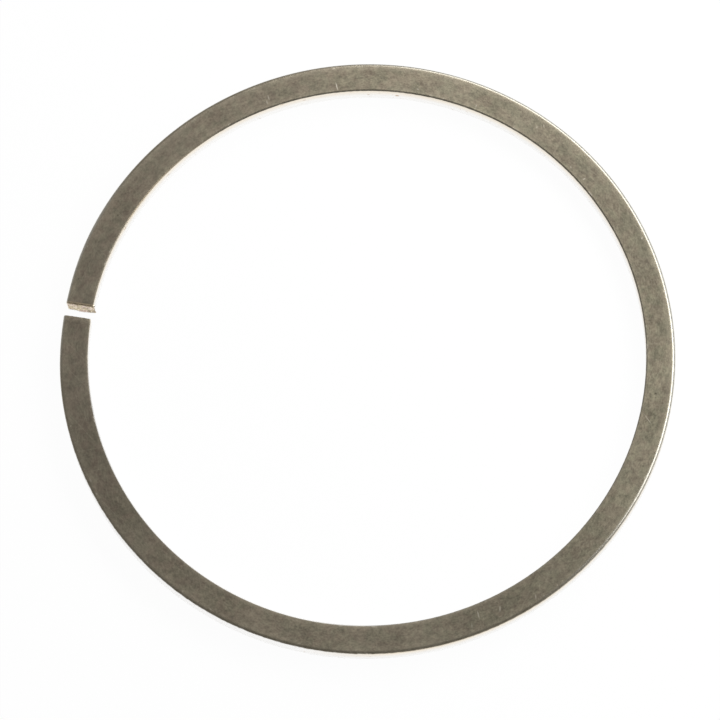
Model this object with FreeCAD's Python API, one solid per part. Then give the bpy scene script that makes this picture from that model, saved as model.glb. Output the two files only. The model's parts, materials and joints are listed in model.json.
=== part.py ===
import FreeCAD, Part
import math
import os

# Split sealing ring for a camshaft oil groove, as it lies free and open on a bench.
# Lengths are in millimetres. The ring lies flat on z = 0 with its axis on +Z,
# and the butt gap opens towards -X.

# Size of the free ring
free_outside_diameter = 45.3
radial_width = 2.15
axial_width = 1.7

# Butt gap between the two ends, measured straight across its parallel faces
free_gap = 0.94

# Edges: the rounding of the two running edges, the bevel of the two groove edges,
# and the rounding of the rims of the end faces
running_edge_radius = 0.25
groove_edge_bevel = 0.1
end_edge_radius = 0.08

# A rounding or bevel takes no more than this share of the narrowest side it lies on, and the
# rounding round an end face stays under this share of the smallest corner that it runs round
side_share = 0.45
corner_share = 0.85

# How close to a plane of the slot an edge lies to count as part of an end face's rim
plane_tolerance = 1e-4

outside_radius = free_outside_diameter / 2
bore_radius = outside_radius - radial_width
narrowest_side = min(radial_width, axial_width)

z_axis = FreeCAD.Vector(0, 0, 1)
centre = FreeCAD.Vector(0, 0, 0)


def limited(size, side):
    """The wanted rounding or bevel, or less where the side it lies on is too narrow for it."""
    return min(size, side_share * side)


def corner_ends(corner_x, corner_z, inward_x, inward_z, size):
    """Where the rounding or bevel of a corner leaves the side face, and where it leaves the wall."""
    on_side_face = FreeCAD.Vector(corner_x + inward_x * size, 0, corner_z)
    on_wall = FreeCAD.Vector(corner_x, 0, corner_z + inward_z * size)
    return on_side_face, on_wall


def rounded(corner_x, corner_z, inward_x, inward_z, size):
    """Quarter circle that rounds one corner of the section, and its two end points."""
    on_side_face, on_wall = corner_ends(corner_x, corner_z, inward_x, inward_z, size)
    reach = size * math.sqrt(0.5)
    half_way = FreeCAD.Vector(on_side_face.x - inward_x * reach, 0, on_wall.z - inward_z * reach)
    return Part.Arc(on_side_face, half_way, on_wall).toShape(), on_side_face, on_wall


def bevelled(corner_x, corner_z, inward_x, inward_z, size):
    """Straight bevel across one corner of the section, and its two end points."""
    on_side_face, on_wall = corner_ends(corner_x, corner_z, inward_x, inward_z, size)
    return Part.LineSegment(on_side_face, on_wall).toShape(), on_side_face, on_wall


def ring_section():
    """Section in the XZ plane, on the side of the ring opposite the gap."""
    running = limited(running_edge_radius, narrowest_side)
    groove = limited(groove_edge_bevel, narrowest_side)

    low_out, low_out_face, low_out_wall = rounded(outside_radius, 0, -1, 1, running)
    top_out, top_out_face, top_out_wall = rounded(outside_radius, axial_width, -1, -1, running)
    top_in, top_in_face, top_in_wall = bevelled(bore_radius, axial_width, 1, -1, groove)
    low_in, low_in_face, low_in_wall = bevelled(bore_radius, 0, 1, 1, groove)

    running_face = Part.LineSegment(low_out_wall, top_out_wall).toShape()
    upper_side = Part.LineSegment(top_out_face, top_in_face).toShape()
    bore_wall = Part.LineSegment(top_in_wall, low_in_wall).toShape()
    lower_side = Part.LineSegment(low_in_face, low_out_face).toShape()

    outline = [low_out, running_face, top_out, upper_side, top_in, bore_wall, low_in, lower_side]
    return Part.Face(Part.Wire(outline))


def closed_ring():
    """The turned ring before it is split."""
    return ring_section().revolve(centre, z_axis, 360)


def gap_slot():
    """Parallel-sided slot that splits the ring on the -X side."""
    past_wall = radial_width
    length = radial_width + 2 * past_wall
    height = axial_width + 2 * past_wall
    corner = FreeCAD.Vector(-outside_radius - past_wall, -free_gap / 2, -past_wall)
    return Part.makeBox(length, free_gap, height, corner)


def end_rim_edges(ring):
    """The edges round both end faces, which lie in the two planes of the slot."""
    rim = []
    for edge in ring.Edges:
        box = edge.BoundBox
        flat = box.YLength < plane_tolerance
        at_slot = abs(abs(box.Center.y) - free_gap / 2) < plane_tolerance
        if flat and at_slot and box.Center.x < 0:
            rim.append(edge)
    return rim


def split_ring():
    """The finished ring: split, with its two ends deburred all round."""
    ring = closed_ring().cut(gap_slot())
    smallest_corner = limited(min(running_edge_radius, groove_edge_bevel), narrowest_side)
    rounding = min(end_edge_radius, corner_share * smallest_corner)
    ring = ring.makeFillet(rounding, end_rim_edges(ring))
    return Part.Solid(ring.Shells[0])


os.makedirs("parts", exist_ok=True)
split_ring().exportStep("parts/seal_ring.step")
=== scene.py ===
import json
import math

import bmesh
import bpy
from mathutils import Matrix, Vector


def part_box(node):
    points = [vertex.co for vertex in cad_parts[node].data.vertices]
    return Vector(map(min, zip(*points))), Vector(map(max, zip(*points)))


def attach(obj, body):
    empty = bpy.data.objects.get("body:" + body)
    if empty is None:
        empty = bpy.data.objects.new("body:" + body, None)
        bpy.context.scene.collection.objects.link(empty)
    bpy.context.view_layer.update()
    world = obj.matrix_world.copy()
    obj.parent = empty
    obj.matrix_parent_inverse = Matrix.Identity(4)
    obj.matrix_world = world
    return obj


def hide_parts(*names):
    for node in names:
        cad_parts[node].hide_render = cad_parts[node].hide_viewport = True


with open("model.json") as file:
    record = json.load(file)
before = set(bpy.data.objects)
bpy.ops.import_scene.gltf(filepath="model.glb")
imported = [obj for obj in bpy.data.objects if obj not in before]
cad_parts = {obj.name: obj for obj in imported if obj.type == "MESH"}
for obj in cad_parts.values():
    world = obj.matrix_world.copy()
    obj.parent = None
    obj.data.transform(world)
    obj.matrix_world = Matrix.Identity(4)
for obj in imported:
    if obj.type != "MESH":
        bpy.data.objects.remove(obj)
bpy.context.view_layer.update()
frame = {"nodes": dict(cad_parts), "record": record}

MM = 0.001

# Sizes of the ring, read from the frame
mounts = {mount["name"]: mount for mount in frame["record"]["mounts"]}
running_face = mounts["running_face"]["dims"]
bore = mounts["bore"]["dims"]
axial_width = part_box("seal_ring")[1].z
outside_radius = running_face["r_mm"] * MM
bore_radius = bore["r_mm"] * MM
radial_width = outside_radius - bore_radius
mid_radius = (outside_radius + bore_radius) / 2
running_edge_radius = (axial_width - running_face["length_mm"] * MM) / 2
groove_edge_bevel = (axial_width - bore["length_mm"] * MM) / 2
side_outer_radius = outside_radius - running_edge_radius
side_inner_radius = bore_radius + groove_edge_bevel
ring_points = frame["nodes"]["seal_ring"].data.vertices
half_gap = min(abs(point.co.y) for point in ring_points if point.co.x < 0)

# Rounding of the rims of the two end faces
end_edge_radius = 0.09 * MM

# How finely the ring is divided: steps round the circle, the length of a step across the section,
# and the segments of the two kinds of rounding and of the bevel
turn_steps = 540
section_step = 0.085 * MM
running_edge_segments = 6
groove_edge_segments = 1
end_rim_segments = 4

# Slack when corners, edges and faces are picked by their place
near = 0.004 * MM

# Faces that meet at less than this angle, in degrees, are shaded as one
smooth_angle = 30.0

# How far over the gap an end face may stand, as a share of half the gap, and the depth of ring behind
# the plane of an end that counts as its face
rough_reach = 0.2
face_depth = 0.3 * end_edge_radius

# Roughness left by the saw on the end faces: size of the bumps and how much they stand out
saw_marks = ((0.55 * MM, 0.05 * MM), (0.16 * MM, 0.03 * MM))

# How much of its width the ring keeps at its ends, and how far from them it starts to narrow
end_width = 0.94
end_taper = 8.0 * MM

# Burrs on the end at +Y: radius and height of the middle of each, its width and height, how far it stands
# in past the bore and over the gap, and how far round it the metal follows
burr_depth = 1.5 * end_edge_radius
end_burrs = (
    (bore_radius + 0.06 * MM, axial_width / 2, 0.12 * MM, axial_width, 0.07 * MM, 0.0, 0.08 * MM),
    (bore_radius + 0.01 * MM, axial_width - 0.05 * MM, 0.30 * MM, 0.25 * MM, 0.07 * MM, 0.0, 0.10 * MM),
    (bore_radius + 0.01 * MM, 0.08 * MM, 0.30 * MM, 0.25 * MM, 0.05 * MM, 0.02 * MM, 0.10 * MM),
    (bore_radius + 0.75 * MM, 0.0, 0.70 * MM, 0.50 * MM, 0.0, 0.045 * MM, 0.35 * MM),
)

# Usual range of a noise pattern, which is stretched from here to its full range
noise_low = 0.3
noise_high = 0.7

# A soft mask round a place is full up to the first of these shares of its reach, and gone at the second
soft_mask = (0.4, 1.2)

# Patterns that run round the ring: the length and the height of their spots
speckle = (0.17 * MM, 0.125 * MM)
mottle = (0.42 * MM, 0.31 * MM)
stain = (1.9 * MM, 1.5 * MM)
nick = (0.5 * MM, 0.4 * MM)
turning_line = (2.5 * MM, 0.05 * MM)
turning_groove = (5.0 * MM, 0.13 * MM)

# Patterns that lie all ways: the size of their spots
brown_patch = 0.75 * MM
haze = 4.0 * MM
rust_spot = 0.3 * MM
rim_spot = 0.16 * MM
sawn_grain = 0.13 * MM
sawn_pit = 0.22 * MM
sawn_patch = 0.5 * MM

# Tone of the bloom on the side faces: the shares of the two patterns in it, its range from the darkest
# to the palest shade, and the shade that it tends to on the calm side of the ring
speckle_share = 0.64
mottle_share = 0.42
speckle_range = (0.34, 0.72)
calm_shade = 0.5
calm_share = 0.3

# Olive and brown bloom, each darkest and palest, and the range of the pattern that turns one to the other
olive_bloom = ((0.123, 0.112, 0.080), (0.247, 0.222, 0.157))
brown_bloom = ((0.130, 0.107, 0.079), (0.251, 0.217, 0.157))
brown_range = (0.42, 0.58)

# Stains from dark to pale, the tint of the bloom on two opposite sides of the ring, and pale haze
stain_range = (0.88, 1.12)
tint_of_sides = ((1.0, 1.008, 0.988), (1.012, 0.977, 1.003))
haze_share = 0.12
haze_colour = (0.38, 0.35, 0.27)

# Faint bands of painted light and shade round the side faces: how many, where one is palest in degrees, and
# how much paler
painted_light_bands = ((1, 85.0, 0.055), (2, 104.0, 0.095), (3, 0.5, 0.05), (4, 85.0, 0.075))

# Thin bloom next to the edges: how far in from each edge it starts, its range of strength, and its colour
thin_outside_width = 0.4 * MM
thin_outside_range = (0.12, 0.40)
thin_inside_width = 0.30 * MM
thin_inside_range = (0.13, 0.34)
thin_bloom = (0.42, 0.37, 0.28)

# Nicks along the edges: which peaks of the pattern are nicks, how far in they reach, and how strong they are
nick_range = (0.62, 0.72)
nick_reach = (0.03 * MM, 0.13 * MM)
nick_strength = 0.4
nick_colour = (0.62, 0.57, 0.47)

# Scratches left by lapping: direction in degrees, length and width in mm, strength
scratch_range = (0.66, 0.74)
scratch_colour = (0.36, 0.33, 0.25)
lapping_scratches = (
    (20.0, 6.0, 0.09, 0.15),
    (74.0, 6.0, 0.11, 0.12),
    (143.0, 6.0, 0.13, 0.15),
    (99.0, 1.0, 0.09, 0.22),
    (112.0, 0.7, 0.08, 0.18),
)

# Marks on the upper side face: where each starts and ends, as a radius in mm and an angle in degrees,
# its width in mm, its strength, and whether it is paler than the face
pale_mark = (0.60, 0.55, 0.46)
dark_mark = (0.060, 0.052, 0.036)
mark_depth = 0.1 * MM
placed_marks = (
    ((21.22, 105.45), (20.69, 105.26), 0.10, 0.85, True),
    ((21.45, 119.34), (21.12, 119.38), 0.10, 0.45, True),
    ((21.10, 119.96), (20.87, 120.02), 0.10, 0.45, True),
    ((20.82, -3.89), (21.46, -5.46), 0.08, 0.35, True),
    ((22.12, 32.55), (22.18, 32.70), 0.13, 0.55, True),
    ((20.80, 76.20), (20.95, 76.30), 0.10, 0.50, True),
    ((20.90, 49.10), (21.06, 49.00), 0.10, 0.50, True),
    ((21.41, -54.12), (21.77, -54.61), 0.10, 0.45, True),
    ((21.06, -58.54), (21.59, -58.75), 0.10, 0.40, True),
    ((21.98, -47.08), (22.24, -47.48), 0.09, 0.40, True),
    ((21.77, -60.48), (22.06, -60.70), 0.08, 0.35, True),
    ((21.55, 63.25), (21.68, 63.50), 0.10, 0.40, True),
    ((21.90, 62.20), (22.05, 62.60), 0.09, 0.35, True),
    ((20.85, 52.60), (20.90, 52.85), 0.10, 0.35, True),
    ((20.90, 88.60), (20.94, 88.85), 0.12, 0.40, True),
    ((21.35, 0.66), (21.40, 0.74), 0.14, 0.75, False),
    ((21.40, -0.16), (21.42, -0.08), 0.12, 0.35, False),
    ((21.41, 158.75), (21.41, 158.87), 0.15, 0.60, False),
    ((22.10, 173.65), (22.14, 173.75), 0.12, 0.50, False),
    ((21.08, -54.40), (21.13, -54.30), 0.13, 0.50, False),
    ((21.88, -14.15), (21.94, -14.05), 0.12, 0.50, False),
)

# Bare metal of the two walls: warm down to the first of these depths below the upper side face and bright
# from the second one down, and the share of broad grooves in the pattern that the turning tool left
warm_metal = ((0.79, 0.68, 0.53), (0.99, 0.90, 0.74))
bright_metal = ((0.95, 0.94, 0.92), (1.0, 0.995, 0.985))
warm_depth = (0.1 * MM, 1.1 * MM)
groove_share = 0.5

# Where the finish of the running face gives way to the finish of the bore wall, out from the middle
wall_change = 0.1 * MM

# Rust spots on the walls: which peaks of the pattern are rust, their strength and their colour
rust_range = (0.70, 0.76)
rust_strength = 0.4
rust_colour = (0.45, 0.28, 0.14)

# Brown specks on the bore wall: their colour, how tall they are for their length, and for each its place
# round the ring in degrees, its height and size in mm, and its strength
speck_colour = (0.42, 0.25, 0.11)
speck_tallness = 0.8
wall_specks = (
    (98.9, 0.82, 0.11, 0.6),
    (92.9, 0.84, 0.17, 0.9),
    (96.6, 1.02, 0.08, 0.35),
    (90.1, 1.31, 0.08, 0.45),
    (112.4, 1.14, 0.14, 0.45),
    (114.5, 1.25, 0.10, 0.25),
    (117.2, 1.47, 0.14, 0.40),
    (160.2, 1.25, 0.20, 0.90),
    (153.3, 1.42, 0.13, 0.60),
    (145.4, 1.02, 0.15, 0.60),
    (137.0, 0.90, 0.10, 0.35),
)

# Polished bloom on the roundings of the running edges and on the bevels of the bore edges. The pale rounding
# is mostly a painted highlight on the side that faces the lamp, and the tan and light bevels are a painted
# reflection on the sides of the bore that face it
dark_rounding = ((0.162, 0.139, 0.098), (0.272, 0.242, 0.186))
pale_rounding = ((0.39, 0.375, 0.325), (0.53, 0.515, 0.46))
dark_bevel = ((0.150, 0.135, 0.105), (0.250, 0.232, 0.190))
tan_bevel = ((0.48, 0.40, 0.28), (0.68, 0.57, 0.42))
light_bevel = ((0.72, 0.64, 0.50), (0.90, 0.83, 0.70))
half_pale = 0.45
rounding_start = 0.08 * MM
bevel_start = 0.03 * MM

# Burrs at the bore are dark from the first of these distances in past the bore to the second
burr_edge = (0.03 * MM, 0.005 * MM)
burr_colour = (0.15, 0.115, 0.07)

# Brown wear along the upper rims of the two ends: where it lies along Y and how far it reaches from there,
# in mm, its strength and its colour
rim_wear_range = (0.40, 0.60)
rim_wear_least = 0.3
rim_wear_height = 0.3 * MM
rim_wear = (
    (0.515, 0.11, 0.9, (0.40, 0.32, 0.21)),
    (-0.60, 0.30, 0.30, (0.42, 0.36, 0.27)),
)

# Depth below the upper side face at which the bloom is worn through, from its first bare spots to all bare,
# how ragged that line is, how much higher it lies on the side that is most worn, and how much closer to the
# lower side face the line is there
worn_outside_depth = (0.13 * MM, 0.21 * MM)
worn_inside_depth = (0.085 * MM, 0.14 * MM)
worn_raggedness = 0.03 * MM
worn_extra = 0.035 * MM
lower_closeness = 3.0

# How metallic and how rough each surface is
bloom_metallic = 0.75
bare_metallic = 1.0
bloom_roughness = (0.36, 0.46)
polished_roughness = 0.30
bare_roughness = 0.28
ring_relief = 0.005 * MM

# Sawn end faces
sawn_range = (0.40, 0.62)
sawn_tan = ((0.47, 0.38, 0.235), (0.95, 0.855, 0.645))
sawn_pink = ((0.53, 0.40, 0.315), (0.97, 0.85, 0.765))
pink_range = (0.50, 0.58)
pit_range = (0.555, 0.615)
pit_strength = 0.75
pit_colour = (0.17, 0.125, 0.08)
pit_depth = 0.2 * MM
sawn_roughness = 0.45
sawn_relief = 0.012 * MM

# Pits crowd towards the bore: between these distances out from it their threshold rises by this much
crowd_width = (0.3 * MM, 1.3 * MM)
crowd_rise = 0.09

# Dark pits in the end face at +Y: distance out from the bore, height, width and height of each, in mm
end_pits = (
    (0.42, 0.45, 0.11, 0.22),
    (0.52, 0.85, 0.07, 0.16),
    (0.16, 0.20, 0.08, 0.20),
    (0.03, 0.12, 0.07, 0.14),
)

# Dark rim of the end faces: its width from full strength to none, how ragged it is, and its strength
rim_width = (0.12 * MM, 0.22 * MM)
rim_raggedness = 0.06 * MM
rim_strength = 0.7
rim_colour = (0.21, 0.175, 0.12)

# Sides of the ring where a surface changes: the middle of the side in degrees, and the cosines of the turn
# away from it at which the change starts and is full
calm_side = (180.0, 0.2, 1.0)
brown_side = (190.0, -1.0, 1.0)
rubbed_side = (85.0, -0.2, 1.0)
thin_bore_side = (270.0, 0.75, 0.97)
# Painted reflection: on this side the walls, and the bevel of the bore edge that faces the lamp, are bright
# metal up to the upper edge
painted_reflection_side = (235.0, 0.65, 0.85)
# Painted highlight: the roundings of the running edges turn pale on this side, which faces the lamp
painted_highlight_side = (30.0, 0.2, 0.9)
half_pale_rounding_side = (171.0, 0.93, 0.985)
# Painted reflection: the bevels of the bore edges turn tan and then light on these sides, which face the lamp
painted_tan_bevel_side = (155.0, 0.90, 0.99)
painted_light_bevel_side = (171.0, 0.970, 0.990)
worn_rounding_side = (255.0, 0.6, 0.9)

# The photograph's camera: where it stands and aims, and the nearest and farthest it sees, in degrees and
# metres, and its sensor and lens in millimetres
camera_azimuth = 12.58
camera_elevation = 73.44
camera_roll = -3.55
camera_distance = 389.4 * MM
camera_aim = (-0.439 * MM, -0.547 * MM, axial_width)
nearest_seen = 0.01
farthest_seen = 10.0
sensor_width = 36.0
lens_length = 265.0

# Floor, in metres, and how much of what the camera and the metal see of it is plain white
floor_size = 4.0
floor_drop = 0.02 * MM
floor_colour = (0.95, 0.95, 0.95)
floor_roughness = 0.9
floor_glow = 0.96

# Lamp at the upper right of the picture, in degrees, metres and watts
lamp_azimuth = 135.0
lamp_elevation = 42.0
lamp_distance = 0.11
lamp_width = 0.23
lamp_height = 0.055
lamp_power = 0.175

# Studio: the direction of its bright side, and its level there and on the other side
bright_studio_azimuth = 200.0
bright_studio_elevation = 50.0
dim_studio_level = 0.34
bright_studio_level = 0.58


def only(piece):
    """Leave this piece alone selected and active."""
    bpy.ops.object.select_all(action="DESELECT")
    piece.select_set(True)
    bpy.context.view_layer.objects.active = piece


def edit(piece, mode="FACE"):
    """Open the piece in edit mode with nothing selected."""
    only(piece)
    bpy.ops.object.mode_set(mode="EDIT")
    bpy.ops.mesh.select_mode(type=mode)
    bpy.ops.mesh.select_all(action="DESELECT")


def pick(piece, kind, test):
    """Add the corners, edges or faces that pass the test to what is selected."""
    mesh = bmesh.from_edit_mesh(piece.data)
    mesh.normal_update()
    for element in getattr(mesh, kind):
        if test(element):
            element.select_set(True)
    mesh.select_flush_mode()
    bmesh.update_edit_mesh(piece.data)


def pick_only(piece, kind, test):
    """Select the corners, edges or faces that pass the test, and nothing else."""
    bpy.ops.mesh.select_all(action="DESELECT")
    pick(piece, kind, test)


def from_axis(point):
    """Distance of a point from the ring's axis."""
    return math.hypot(point.x, point.y)


def polar(radius, angle):
    """Point at a radius in millimetres and an angle in degrees."""
    turn = math.radians(angle)
    return Vector((math.cos(turn), math.sin(turn), 0)) * radius * MM


def section_outline():
    """Outline of the section at the end of the ring just past the gap on +Y, and its angle round the axis."""
    start = math.pi - math.asin(half_gap / mid_radius)
    place = (mid_radius * math.cos(start), mid_radius * math.sin(start), axial_width / 2)
    bpy.ops.object.select_all(action="DESELECT")
    bpy.ops.mesh.primitive_plane_add(size=1, location=place, rotation=(math.pi / 2, 0, start))
    ring = bpy.context.object
    ring.name = "split_ring"
    ring.scale = (radial_width, axial_width, 1)
    bpy.ops.object.transform_apply(location=True, rotation=True, scale=True)

    edit(ring, "VERT")
    pick_only(ring, "verts", lambda corner: from_axis(corner.co) > outside_radius - near)
    bevel_corners(running_edge_radius, running_edge_segments)
    pick_only(ring, "verts", lambda corner: from_axis(corner.co) < bore_radius + near)
    bevel_corners(groove_edge_bevel, groove_edge_segments)
    bpy.ops.mesh.select_mode(type="FACE")
    bpy.ops.mesh.select_all(action="SELECT")
    bpy.ops.mesh.delete(type="ONLY_FACE")

    side_face = radial_width - running_edge_radius - groove_edge_bevel
    running_wall = axial_width - 2 * running_edge_radius
    bore_wall = axial_width - 2 * groove_edge_bevel
    bpy.ops.mesh.select_mode(type="EDGE")
    for length in (side_face, running_wall, bore_wall):
        pick_only(ring, "edges", lambda edge: abs(edge.calc_length() - length) < near)
        bpy.ops.mesh.subdivide(number_cuts=2 * round(length / section_step / 2) - 1)
    bpy.ops.object.mode_set(mode="OBJECT")
    return ring, start


def bevel_corners(size, segments):
    """Round the selected corners of the section, or bevel them with one segment."""
    bpy.ops.mesh.bevel(
        affect="VERTICES", offset_type="ABSOLUTE", offset=size, segments=segments, profile=0.5
    )


def spin_ring(ring, start):
    """Turn the outline round the axis, and bring its two ends into the parallel planes of the gap."""
    edit(ring, "VERT")
    bpy.ops.mesh.select_all(action="SELECT")
    sweep = 2 * start
    bpy.ops.mesh.spin(steps=turn_steps, angle=sweep, center=(0, 0, 0), axis=(0, 0, 1))
    last_step = start - sweep / turn_steps / 2
    for side in (1, -1):
        pick_only(ring, "verts", lambda corner: past_turn(corner.co, side, last_step))
        bpy.ops.transform.resize(value=(1, 0, 1), center_override=(0, side * half_gap, 0))
    bpy.ops.object.mode_set(mode="OBJECT")


def past_turn(point, side, turn):
    """Whether a point on one side of the gap lies further round the ring than this turn from +X."""
    return side * point.y > 0 and math.atan2(abs(point.y), point.x) > turn


def in_end_plane(element, side):
    """Whether an edge or a face lies in the plane of the end on one side of the gap."""
    return all(abs(corner.co.y - side * half_gap) < near and corner.co.x < 0 for corner in element.verts)


def close_ends(ring):
    """Close both ends, round their rims, and divide the end faces finely."""
    edit(ring, "EDGE")
    for side in (1, -1):
        pick_only(ring, "edges", lambda edge: in_end_plane(edge, side))
        bpy.ops.mesh.edge_face_add()
    bpy.ops.mesh.select_all(action="SELECT")
    bpy.ops.mesh.normals_make_consistent(inside=False)
    for side in (1, -1):
        pick_only(ring, "edges", lambda edge: in_end_plane(edge, side))
        bpy.ops.mesh.bevel(affect="EDGES", offset=end_edge_radius, segments=end_rim_segments, profile=0.5)
        bpy.ops.mesh.select_mode(type="FACE")
        pick_only(ring, "faces", lambda face: in_end_plane(face, side))
        bpy.ops.mesh.delete(type="ONLY_FACE")
        bpy.ops.mesh.select_mode(type="EDGE")
        pick_only(ring, "edges", lambda edge: edge.is_boundary and in_end_plane(edge, side))
        bpy.ops.mesh.fill_grid(span=round(axial_width / section_step))
    bpy.ops.mesh.select_all(action="SELECT")
    bpy.ops.mesh.normals_make_consistent(inside=False)
    bpy.ops.object.mode_set(mode="OBJECT")


def near_end(point, side, depth):
    """Whether a point lies on the end on one side of the gap, within a depth from its plane."""
    return point.x < 0 and (1 - rough_reach) * half_gap < side * point.y < half_gap + depth


def roughen_ends(ring):
    """Give both end faces the uneven surface that the saw left."""
    edit(ring, "VERT")
    for side in (1, -1):
        pick(ring, "verts", lambda corner: near_end(corner.co, side, face_depth))
    bpy.ops.object.vertex_group_add()
    bpy.ops.object.vertex_group_assign()
    bpy.ops.object.mode_set(mode="OBJECT")
    for size, depth in saw_marks:
        texture = bpy.data.textures.new("sawn", "CLOUDS")
        texture.noise_scale = size
        rough = ring.modifiers.new("rough", "DISPLACE")
        rough.texture = texture
        rough.texture_coords = "LOCAL"
        rough.vertex_group = ring.vertex_groups.active.name
        rough.direction = "Y"
        rough.mid_level = 0.5
        rough.strength = depth
        only(ring)
        bpy.ops.object.modifier_apply(modifier=rough.name)
    ring.vertex_groups.clear()


def narrow_ends(ring):
    """Let the ring grow a little narrower towards the gap."""
    edit(ring, "VERT")
    for side in (1, -1):
        pick(ring, "verts", lambda corner: near_end(corner.co, side, end_edge_radius + near))
    bpy.ops.transform.resize(
        value=(end_width, 1, 1),
        center_override=(-mid_radius, 0, 0),
        use_proportional_edit=True,
        proportional_edit_falloff="SMOOTH",
        proportional_size=end_taper,
    )
    bpy.ops.object.mode_set(mode="OBJECT")


def raise_burrs(ring):
    """Pull the burrs out of the rim of the end at +Y."""
    edit(ring, "VERT")
    for radius, height, width, tall, inward, over_gap, falloff in end_burrs:
        pick_only(
            ring,
            "verts",
            lambda corner: near_end(corner.co, 1, burr_depth)
            and abs(from_axis(corner.co) - radius) < width / 2
            and abs(corner.co.z - height) < tall / 2,
        )
        bpy.ops.transform.translate(
            value=(inward, -over_gap, 0),
            use_proportional_edit=True,
            proportional_edit_falloff="SMOOTH",
            proportional_size=falloff,
        )
    bpy.ops.object.mode_set(mode="OBJECT")


class Finish:
    """A material in the making, with its pattern laid on the ring's own coordinates."""

    def __init__(self, name):
        self.material = bpy.data.materials.new(name)
        self.material.use_nodes = True
        self.tree = self.material.node_tree
        self.surface = self.tree.nodes["Principled BSDF"]
        self.place = self.node("ShaderNodeTexCoord").outputs["Object"]
        self.x, self.y, self.z = self.node("ShaderNodeSeparateXYZ", {0: self.place}).outputs

    def node(self, kind, inputs=None, **options):
        """Add a node, set its options, and feed its inputs with values or with other nodes' outputs."""
        node = self.tree.nodes.new(kind)
        for name, value in options.items():
            setattr(node, name, value)
        for name, value in (inputs or {}).items():
            self.feed(node.inputs[name], value)
        return node

    def feed(self, socket, value):
        """Link an output to a socket, or set the socket's own value."""
        if isinstance(value, bpy.types.NodeSocket):
            self.tree.links.new(value, socket)
        elif socket.type == "RGBA":
            socket.default_value = (*value, 1)
        else:
            socket.default_value = value

    def paint(self, socket, value):
        """Feed a socket of the surface shader."""
        self.feed(self.surface.inputs[socket], value)

    def work(self, operation, first, second=0.0):
        """One step of arithmetic."""
        return self.node("ShaderNodeMath", {0: first, 1: second}, operation=operation).outputs[0]

    def times(self, first, second):
        """Product of two plain values."""
        return self.work("MULTIPLY", first, second)

    def spread(self, value, low, high, to_low=0.0, to_high=1.0):
        """Stretch a value from one range to another, held at the ends."""
        inputs = {"Value": value, "From Min": low, "From Max": high, "To Min": to_low, "To Max": to_high}
        return self.node("ShaderNodeMapRange", inputs).outputs[0]

    def even(self, noise, to_low=0.0, to_high=1.0):
        """Stretch a noise pattern over its usual range."""
        return self.spread(noise, noise_low, noise_high, to_low, to_high)

    def blend(self, share, first, second):
        """Mix two colours."""
        node = self.node("ShaderNodeMix", data_type="RGBA")
        self.feed(node.inputs[0], share)
        self.feed(node.inputs[6], first)
        self.feed(node.inputs[7], second)
        return node.outputs[2]

    def mix(self, share, first, second):
        """Mix two plain values."""
        node = self.node("ShaderNodeMix")
        self.feed(node.inputs[0], share)
        self.feed(node.inputs[2], first)
        self.feed(node.inputs[3], second)
        return node.outputs[0]

    def scale(self, colour, factor):
        """Make a colour brighter or darker."""
        inputs = {0: colour, "Scale": factor}
        return self.node("ShaderNodeVectorMath", inputs, operation="SCALE").outputs[0]

    def tinted(self, colour, tint):
        """Multiply a colour by a tint."""
        inputs = {0: colour, 1: tint}
        return self.node("ShaderNodeVectorMath", inputs, operation="MULTIPLY").outputs[0]

    def noise(self, place, scale, detail):
        """Soft random pattern."""
        inputs = {"Vector": place, "Scale": scale, "Detail": detail}
        return self.node("ShaderNodeTexNoise", inputs).outputs[0]

    def grain(self, size, detail):
        """Random pattern that lies all ways, with spots of about this size."""
        return self.noise(self.place, 1 / size, detail)

    def radius(self):
        """Distance from the ring's axis."""
        flat = self.node("ShaderNodeCombineXYZ", {0: self.x, 1: self.y}).outputs[0]
        return self.node("ShaderNodeVectorMath", {0: flat}, operation="LENGTH").outputs["Value"]

    def angle(self):
        """Angle round the ring's axis, from +X."""
        return self.work("ARCTAN2", self.y, self.x)

    def on_side(self, side, off=0.0, full=1.0):
        """Soft mask for one side of the ring."""
        middle, starts, ends = side
        away = self.work("SUBTRACT", self.angle(), math.radians(middle))
        return self.spread(self.work("COSINE", away), starts, ends, off, full)

    def along_ring(self, spot, detail):
        """Random pattern drawn out round the ring, as if the ring were laid out straight."""
        length, height = spot
        arc = self.times(self.angle(), mid_radius / length)
        out = self.work("DIVIDE", self.radius(), height)
        up = self.work("DIVIDE", self.z, height)
        straight = self.node("ShaderNodeCombineXYZ", {0: arc, 1: out, 2: up}).outputs[0]
        return self.noise(straight, 1.0, detail)

    def mapped(self, middle, turn, reach):
        """Place measured from a middle, along axes turned about the upright, in steps of a reach."""
        inputs = {"Vector": self.place, "Location": middle, "Rotation": (0, 0, turn), "Scale": reach}
        return self.node("ShaderNodeMapping", inputs, vector_type="TEXTURE").outputs[0]

    def scratches(self, turn, length, width):
        """Fine straight scratches that all run one way across the side faces."""
        lines = self.noise(self.mapped((0, 0, 0), turn, (length, width, width)), 1.0, 1.0)
        return self.spread(lines, *scratch_range)

    def around(self, middle, turn, reach):
        """Soft mask round a place: the turn about the upright, and how far it reaches along its own axes."""
        place = self.mapped(middle, turn, reach)
        away = self.node("ShaderNodeVectorMath", {0: place}, operation="LENGTH").outputs["Value"]
        return self.spread(away, *soft_mask, 1.0, 0.0)

    def mark(self, start, end, width):
        """Soft mask round a mark on the upper side face, from start to end, each a radius and an angle."""
        first = polar(*start)
        last = polar(*end)
        run = last - first
        middle = (first + last) / 2 + Vector((0, 0, axial_width))
        reach = (run.length / 2 + width / 2, width / 2, mark_depth)
        return self.around(middle, math.atan2(run.y, run.x), reach)

    def relief(self, height, depth):
        """Raise the surface by a pattern, from 0 to a depth in metres."""
        inputs = {"Height": height, "Distance": depth, "Strength": 1.0}
        self.paint("Normal", self.node("ShaderNodeBump", inputs).outputs[0])


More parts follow.
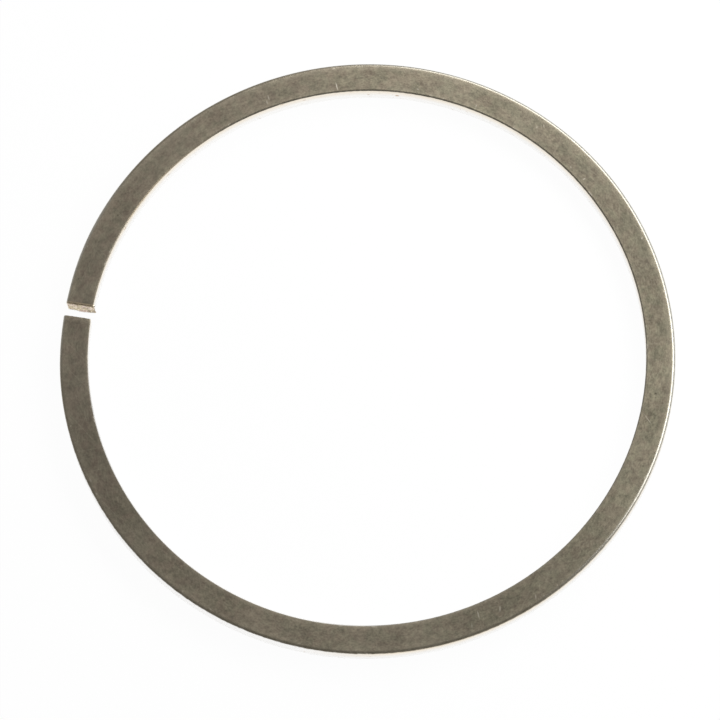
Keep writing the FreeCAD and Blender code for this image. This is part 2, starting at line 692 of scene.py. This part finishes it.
def bloom_on_sides(finish, shade):
    """Speckled olive and brown bloom, in soft stains, with faint bands of painted light and shade round the
    ring.
    """
    olive = finish.blend(shade, *olive_bloom)
    brown = finish.blend(shade, *brown_bloom)
    bloom = finish.blend(finish.spread(finish.grain(brown_patch, 3), *brown_range), olive, brown)
    bloom = finish.scale(bloom, finish.even(finish.along_ring(stain, 2), *stain_range))
    bloom = finish.tinted(bloom, finish.blend(finish.on_side(brown_side), *tint_of_sides))
    bloom = finish.blend(finish.even(finish.grain(haze, 1), 0.0, haze_share), bloom, haze_colour)
    # Painted light and shade: the bloom is made paler and darker in faint bands round the ring
    for waves, palest, depth in painted_light_bands:
        turned = finish.times(finish.work("SUBTRACT", finish.angle(), math.radians(palest)), waves)
        band = finish.spread(finish.work("COSINE", turned), -1, 1, 1 - depth, 1 + depth)
        bloom = finish.scale(bloom, band)
    return bloom


def rubbed_edges(finish, radius, bloom):
    """Thin bloom at both edges of the side faces, most of it where the ring has rubbed, and nicks."""
    outside = finish.spread(radius, side_outer_radius - thin_outside_width, side_outer_radius)
    outside = finish.times(outside, finish.on_side(rubbed_side, *thin_outside_range))
    inside = finish.spread(radius, side_inner_radius, side_inner_radius + thin_inside_width, 1.0, 0.0)
    inside = finish.times(inside, finish.on_side(thin_bore_side, *thin_inside_range))
    bloom = finish.blend(finish.work("MAXIMUM", outside, inside), bloom, thin_bloom)

    to_outside = finish.work("SUBTRACT", side_outer_radius, radius)
    to_inside = finish.work("SUBTRACT", radius, side_inner_radius)
    to_edge = finish.work("MINIMUM", to_outside, to_inside)
    nicks = finish.spread(finish.along_ring(nick, 2), *nick_range)
    nicks = finish.times(nicks, finish.spread(to_edge, *nick_reach, nick_strength, 0.0))
    return finish.blend(nicks, bloom, nick_colour)


def scratches_and_marks(finish, bloom):
    """Fine scratches from lapping, and the marks that the photograph shows."""
    for turn, length, width, strength in lapping_scratches:
        scratches = finish.scratches(math.radians(turn), length * MM, width * MM)
        bloom = finish.blend(finish.times(scratches, strength), bloom, scratch_colour)
    for start, end, width, strength, pale in placed_marks:
        colour = pale_mark if pale else dark_mark
        share = finish.times(finish.mark(start, end, width * MM), strength)
        bloom = finish.blend(share, bloom, colour)
    return bloom


def bare_walls(finish, below, turned, bright):
    """Bare metal of the walls: finely turned, warmest near the upper edge, with brown specks, and bright up
    to the upper edge as a painted reflection on one side.
    """
    warm = finish.blend(turned, *warm_metal)
    # Painted reflection: on one side the wall is bright up to its upper edge
    cool = finish.work("MAXIMUM", finish.spread(below, *warm_depth), finish.on_side(painted_reflection_side))
    bare = finish.blend(cool, warm, bright)
    rust = finish.spread(finish.grain(rust_spot, 1), *rust_range, 0.0, rust_strength)
    bare = finish.blend(rust, bare, rust_colour)
    for turn, height, size, strength in wall_specks:
        middle = polar(bore_radius / MM, turn) + Vector((0, 0, height * MM))
        reach = (size * MM, size * MM, speck_tallness * size * MM)
        speck = finish.around(middle, math.radians(turn + 90), reach)
        bare = finish.blend(finish.times(speck, strength), bare, speck_colour)
    return bare


def rounding_with_painted_highlight(finish, shade):
    """Polished bloom on the roundings of the running edges, turned pale by a painted highlight on the side
    towards the lamp, and partly pale in a narrow patch on the opposite side.
    """
    half = finish.on_side(half_pale_rounding_side, 0.0, half_pale)
    pale = finish.work("MAXIMUM", finish.on_side(painted_highlight_side), half)
    return finish.blend(pale, finish.blend(shade, *dark_rounding), finish.blend(shade, *pale_rounding))


def bevel_with_painted_reflection(finish, shade, sheen, bright):
    """Polished bloom on the bevels of the bore edges, with a painted reflection that turns them tan, light
    and bright in turn on the sides of the bore that face the lamp.
    """
    dark = finish.blend(shade, *dark_bevel)
    # Painted reflection: tan, then light, then bright on the sides of the bore that face the lamp
    bevel = finish.blend(finish.on_side(painted_tan_bevel_side), dark, finish.blend(sheen, *tan_bevel))
    bevel = finish.blend(finish.on_side(painted_light_bevel_side), bevel, finish.blend(sheen, *light_bevel))
    return finish.blend(finish.on_side(painted_reflection_side), bevel, bright)


def worn_rims(finish, bloom):
    """Spotted brown wear along the upper rims of the two ends."""
    spotted = finish.spread(finish.grain(rim_spot, 2), *rim_wear_range, rim_wear_least, 1.0)
    for place, reach, strength, colour in rim_wear:
        middle = Vector((-mid_radius, place * MM, axial_width))
        rim = finish.around(middle, 0, (2 * radial_width, reach * MM, rim_wear_height))
        bloom = finish.blend(finish.times(finish.times(rim, spotted), strength), bloom, colour)
    return bloom


def worn_through(finish, radius, below, mottled):
    """1 where the bloom is worn through to the bare walls, with a ragged line, and 0 elsewhere."""
    uneven = finish.even(mottled, -worn_raggedness, worn_raggedness)
    upper = finish.work("ADD", below, uneven)
    depth = finish.work("MINIMUM", upper, finish.times(finish.z, lower_closeness))
    more = finish.on_side(worn_rounding_side, 0.0, worn_extra)
    outside = finish.spread(finish.work("ADD", depth, more), *worn_outside_depth)
    inside = finish.spread(depth, *worn_inside_depth)
    on_bore = finish.spread(radius, mid_radius, mid_radius + wall_change, 1.0, 0.0)
    return finish.mix(on_bore, outside, inside)


def ring_finish():
    """Dull olive bloom on the lapped sides, worn off their edges, and bright turned metal on the walls, with
    painted light and shade in bands round the sides and painted highlights and reflections on the edges and
    walls on one side.
    """
    finish = Finish("ring_metal")
    radius = finish.radius()
    below = finish.work("SUBTRACT", axial_width, finish.z)
    mottled = finish.along_ring(mottle, 2)
    speckled = finish.times(finish.along_ring(speckle, 2), speckle_share)
    tone = finish.work("ADD", speckled, finish.times(mottled, mottle_share))
    calm = finish.on_side(calm_side, 0.0, calm_share)
    shade = finish.mix(calm, finish.spread(tone, *speckle_range), calm_shade)
    sheen = finish.even(finish.along_ring(turning_line, 3))
    turned = finish.mix(groove_share, sheen, finish.even(finish.along_ring(turning_groove, 3)))
    bright = finish.blend(turned, *bright_metal)

    # The side faces first, then the roundings, the bevels and the rims at the gap, then what is worn bare
    bloom = bloom_on_sides(finish, shade)
    bloom = rubbed_edges(finish, radius, bloom)
    bloom = scratches_and_marks(finish, bloom)
    on_rounding = finish.spread(radius, side_outer_radius, side_outer_radius + rounding_start)
    on_bevel = finish.spread(radius, bore_radius + bevel_start, side_inner_radius, 1.0, 0.0)
    bloom = finish.blend(on_rounding, bloom, rounding_with_painted_highlight(finish, shade))
    bloom = finish.blend(on_bevel, bloom, bevel_with_painted_reflection(finish, shade, sheen, bright))
    bloom = worn_rims(finish, bloom)
    worn = worn_through(finish, radius, below, mottled)
    colour = finish.blend(worn, bloom, bare_walls(finish, below, turned, bright))
    burr_start, burr_end = burr_edge
    burr = finish.spread(radius, bore_radius - burr_start, bore_radius - burr_end, 1.0, 0.0)
    finish.paint("Base Color", finish.blend(burr, colour, burr_colour))

    off_face = finish.work("MAXIMUM", on_rounding, on_bevel)
    dull = finish.mix(off_face, finish.even(mottled, *bloom_roughness), polished_roughness)
    finish.paint("Roughness", finish.mix(worn, dull, bare_roughness))
    finish.paint("Metallic", finish.mix(worn, bloom_metallic, bare_metallic))
    finish.relief(finish.mix(worn, tone, turned), ring_relief)
    return finish.material


def sawn_end_finish():
    """Rough tan metal of the two end faces, patchy, with a dark rim and dark pits near the inner edge."""
    finish = Finish("sawn_end")
    finish.paint("Metallic", bare_metallic)
    finish.paint("Roughness", sawn_roughness)
    fine = finish.grain(sawn_grain, 3)
    spots = finish.grain(sawn_pit, 2)
    shade = finish.spread(fine, *sawn_range)
    pink = finish.spread(finish.grain(sawn_patch, 1), *pink_range)
    colour = finish.blend(pink, finish.blend(shade, *sawn_tan), finish.blend(shade, *sawn_pink))

    # Dark pits, most of them towards the bore
    crowd_start, crowd_end = crowd_width
    crowd = finish.spread(
        finish.radius(), bore_radius + crowd_start, bore_radius + crowd_end, 0.0, crowd_rise
    )
    pits = finish.spread(finish.work("SUBTRACT", spots, crowd), *pit_range)
    for away, height, width, tall in end_pits:
        middle = Vector((-(bore_radius + away * MM), half_gap, height * MM))
        pit = finish.around(middle, 0, (width * MM, pit_depth, tall * MM))
        pits = finish.work("MAXIMUM", pits, pit)
    colour = finish.blend(finish.times(pits, pit_strength), colour, pit_colour)

    # The bloom reaches a little way over the upper and lower rim
    to_side_face = finish.work("MINIMUM", finish.z, finish.work("SUBTRACT", axial_width, finish.z))
    ragged = finish.work("ADD", to_side_face, finish.even(spots, -rim_raggedness, rim_raggedness))
    rim = finish.spread(ragged, *rim_width, rim_strength, 0.0)
    finish.paint("Base Color", finish.blend(rim, colour, rim_colour))
    finish.relief(fine, sawn_relief)
    return finish.material


def on_burred_edge(face):
    """Whether a face lies on the rim between the end face at +Y and the bore wall."""
    rim = end_edge_radius + near
    return all(
        near_end(corner.co, 1, rim) and from_axis(corner.co) < bore_radius + rim for corner in face.verts
    )


def on_sawn_end(face):
    """Whether a face belongs to one of the two sawn ends."""
    return in_end_plane(face, 1) or in_end_plane(face, -1) or on_burred_edge(face)


def dress_ring(ring):
    """Give the ring's turned and lapped surfaces and its two sawn ends their finishes."""
    ring.data.materials.append(ring_finish())
    ring.data.materials.append(sawn_end_finish())
    edit(ring)
    pick(ring, "faces", on_sawn_end)
    ring.active_material_index = 1
    bpy.ops.object.material_slot_assign()
    bpy.ops.object.mode_set(mode="OBJECT")
    only(ring)
    bpy.ops.object.shade_smooth_by_angle(angle=math.radians(smooth_angle))


def white_floor():
    """Pale floor that shows white to the camera and in the metal, and keeps a faint shadow."""
    bpy.ops.object.select_all(action="DESELECT")
    bpy.ops.mesh.primitive_plane_add(size=floor_size, location=(0, 0, -floor_drop))
    floor = bpy.context.object
    floor.name = "floor"
    finish = Finish("white_floor")
    finish.paint("Base Color", floor_colour)
    finish.paint("Roughness", floor_roughness)
    rays = finish.node("ShaderNodeLightPath").outputs
    seen = finish.work("MAXIMUM", rays["Is Camera Ray"], rays["Is Glossy Ray"])
    seen = finish.work("MAXIMUM", seen, rays["Is Transmission Ray"])
    share = finish.times(seen, floor_glow)
    glow = finish.node("ShaderNodeEmission", {"Color": (1, 1, 1), "Strength": 1.0}).outputs[0]
    both = finish.node("ShaderNodeMixShader", {0: share, 1: finish.surface.outputs[0], 2: glow})
    finish.feed(finish.tree.nodes["Material Output"].inputs["Surface"], both.outputs[0])
    floor.data.materials.append(finish.material)


def direction(azimuth, elevation):
    """Unit vector towards a place round the ring. Azimuth 0 is -Y, where the photograph was taken from."""
    turn = math.radians(azimuth)
    rise = math.radians(elevation)
    return Vector((math.sin(turn) * math.cos(rise), -math.cos(turn) * math.cos(rise), math.sin(rise)))


def soft_lamp():
    """Soft lamp at the upper right of the picture."""
    lamp = bpy.data.lights.new("soft_lamp", "AREA")
    lamp.shape = "RECTANGLE"
    lamp.size = lamp_width
    lamp.size_y = lamp_height
    lamp.energy = lamp_power
    holder = bpy.data.objects.new("soft_lamp", lamp)
    bpy.context.scene.collection.objects.link(holder)
    towards = direction(lamp_azimuth, lamp_elevation)
    holder.location = towards * lamp_distance
    holder.rotation_mode = "QUATERNION"
    holder.rotation_quaternion = (-towards).to_track_quat("-Z", "Y")
    holder.visible_camera = False


def studio():
    """Plain pale studio that is brighter on one side."""
    world = bpy.data.worlds.new("studio")
    bpy.context.scene.world = world
    world.use_nodes = True
    tree = world.node_tree
    background = tree.nodes["Background"]
    background.inputs["Color"].default_value = (1, 1, 1, 1)
    place = tree.nodes.new("ShaderNodeTexCoord")
    facing = tree.nodes.new("ShaderNodeVectorMath")
    facing.operation = "DOT_PRODUCT"
    facing.inputs[1].default_value = direction(bright_studio_azimuth, bright_studio_elevation)
    tree.links.new(place.outputs["Generated"], facing.inputs[0])
    level = tree.nodes.new("ShaderNodeMapRange")
    level.interpolation_type = "SMOOTHSTEP"
    level.inputs["From Min"].default_value = 0.0
    level.inputs["From Max"].default_value = 1.0
    level.inputs["To Min"].default_value = dim_studio_level
    level.inputs["To Max"].default_value = bright_studio_level
    tree.links.new(facing.outputs["Value"], level.inputs["Value"])
    tree.links.new(level.outputs[0], background.inputs["Strength"])


def camera():
    """The photograph's camera: a long lens that looks steeply down on the ring."""
    lens = bpy.data.cameras.new("camera")
    lens.lens = lens_length
    lens.sensor_width = sensor_width
    lens.clip_start = nearest_seen
    lens.clip_end = farthest_seen
    holder = bpy.data.objects.new("camera", lens)
    bpy.context.scene.collection.objects.link(holder)
    back = direction(camera_azimuth, camera_elevation)
    place = Matrix.Translation(Vector(camera_aim) + back * camera_distance)
    facing = (-back).to_track_quat("-Z", "Y").to_matrix().to_4x4()
    turn = Matrix.Rotation(math.radians(camera_roll), 4, "Z")
    holder.matrix_world = place @ facing @ turn
    bpy.context.scene.camera = holder


ring, start = section_outline()
spin_ring(ring, start)
close_ends(ring)
dress_ring(ring)
roughen_ends(ring)
narrow_ends(ring)
raise_burrs(ring)
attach(ring, "root")
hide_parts("seal_ring")
white_floor()
soft_lamp()
studio()
camera()
bpy.context.scene.view_settings.view_transform = "Standard"
